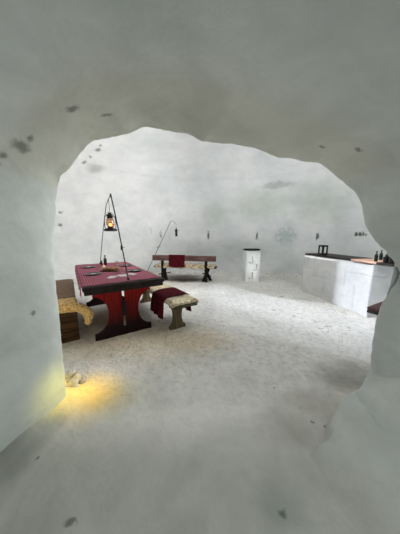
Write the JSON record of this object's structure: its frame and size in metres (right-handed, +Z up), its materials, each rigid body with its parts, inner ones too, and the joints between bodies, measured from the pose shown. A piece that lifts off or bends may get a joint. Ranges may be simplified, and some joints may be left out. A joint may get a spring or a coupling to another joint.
{
  "type": "snow igloo dining hall",
  "caption": "Oval snow igloo with a hand-cut doorway and entrance passage, furnished with a red trestle table, fleece-covered benches, lanterns and a snow bar.",
  "frame": {"origin": "centre of the oval hall on the ground, on the underside of the snow floor", "axes": "+X along the hall's long axis towards the bar, +Y away from the entrance, +Z up"},
  "size_m": [11.0879, 9.5481, 4.3],
  "materials": {
    "snow": "packed snow, matt and finely pitted",
    "shaded_snow": "denser icy snow of the passage",
    "dark_wood": "dark stained boards",
    "red_wood": "red stained boards, worn darker at the foot",
    "grey_wood": "weathered pale wood",
    "brown_wood": "warm brown planks",
    "black_iron": "black painted iron",
    "checked_cloth": "woven check in mauve and pink",
    "wool_blanket": "burgundy wool",
    "sheepskin": "long cream fleece",
    "hide": "short brown-grey hair on hide",
    "dark_ceramic": "dark glaze",
    "bottle_glass": "dark bottle glass",
    "lantern_glass": "clear glass lit from inside"
  },
  "bodies": {
    "root": {"wall_front_right": "snow", "wall_right": "snow", "wall_back_right": "snow", "wall_back": "snow", "wall_back_left": "snow", "wall_left": "snow", "wall_front_left": "snow", "door_left_pier": "snow", "door_right_pier": "snow", "door_lintel": "snow", "dome_crown": "snow", "snow_floor": "snow", "bar_counter": "snow", "pedestal": "snow", "snow_lamp": "snow", "passage_left_wall": "shaded_snow", "passage_right_wall": "shaded_snow", "passage_vault": "shaded_snow", "snow_bank": "shaded_snow", "counter_board": "dark_wood", "table_top": "dark_wood", "table_stretcher": "dark_wood", "bar_stool": "dark_wood", "table_trestles": "red_wood", "right_bench_seat": "grey_wood", "right_bench_trestles": "grey_wood", "back_bench": "grey_wood", "left_bench": "brown_wood", "pedestal_tray": "black_iron", "lantern_stand": "black_iron", "table_lantern": "black_iron", "lantern_pole": "black_iron", "pole_lantern": "black_iron", "tablecloth": "checked_cloth", "right_blanket": "wool_blanket", "back_blanket": "wool_blanket", "stool_cover": "wool_blanket", "right_sheepskin": "sheepskin", "left_sheepskin": "sheepskin", "back_sheepskin": "sheepskin", "left_hide": "hide", "table_ware": "dark_ceramic", "counter_ware": "bottle_glass", "lantern_glass": "lantern_glass"}
  },
  "joints": []
}
